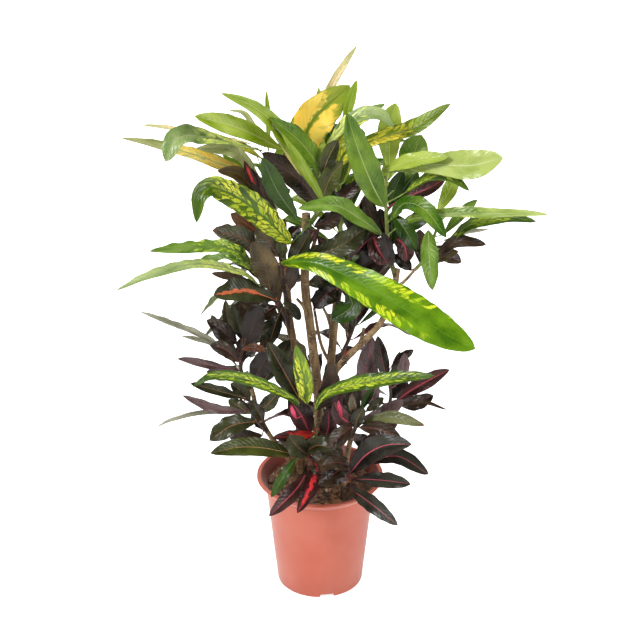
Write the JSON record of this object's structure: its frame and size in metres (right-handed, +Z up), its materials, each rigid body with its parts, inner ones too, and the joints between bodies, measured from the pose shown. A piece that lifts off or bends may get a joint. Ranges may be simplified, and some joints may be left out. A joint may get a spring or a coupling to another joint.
{
  "type": "potted croton",
  "caption": "Bushy croton houseplant with green, yellow and dark red leaves on woody stems, in a plain flared nursery pot that stands on its foot ring.",
  "frame": {"origin": "middle of the pot's underside, on the ground", "axes": "+Z up, -Y towards the viewer, +X to the viewer's right"},
  "size_m": [0.6273, 0.4736, 0.9102],
  "materials": {
    "terracotta": "smooth moulded plastic with a soft sheen",
    "soil": "damp crumbly potting soil",
    "bark": "grey-brown bark with leaf scars",
    "leaf_green": "bright green glossy leaf",
    "leaf_yellow": "glossy green leaf blotched with yellow",
    "leaf_dark": "dark green glossy leaf with an orange or red midrib",
    "leaf_purple": "maroon to near black glossy leaf with a red midrib"
  },
  "bodies": {
    "root": {"pot": "terracotta", "soil": "soil", "trunk_center": "bark", "trunk_left": "bark", "trunk_back": "bark", "trunk_leaning": "bark", "stem_low_left": "bark", "stem_low_right": "bark", "stem_front": "bark", "shoot_crown_left": "leaf_yellow", "shoot_crown_far_left": "leaf_green", "shoot_crown_right": "leaf_green", "shoot_far_right": "leaf_green", "shoot_hero": "leaf_yellow", "shoot_middle_left": "leaf_dark", "shoot_middle": "leaf_dark", "shoot_twig_left": "leaf_dark", "shoot_low_left": "leaf_dark", "shoot_center": "leaf_yellow", "shoot_right_mid": "leaf_purple", "shoot_low_right": "leaf_purple", "shoot_front_right": "leaf_purple", "shoot_front_left": "leaf_purple", "shoot_back_crown": "leaf_green", "shoot_back_left": "leaf_dark", "shoot_back_right": "leaf_purple", "shoot_back_low": "leaf_purple"}
  },
  "joints": []
}
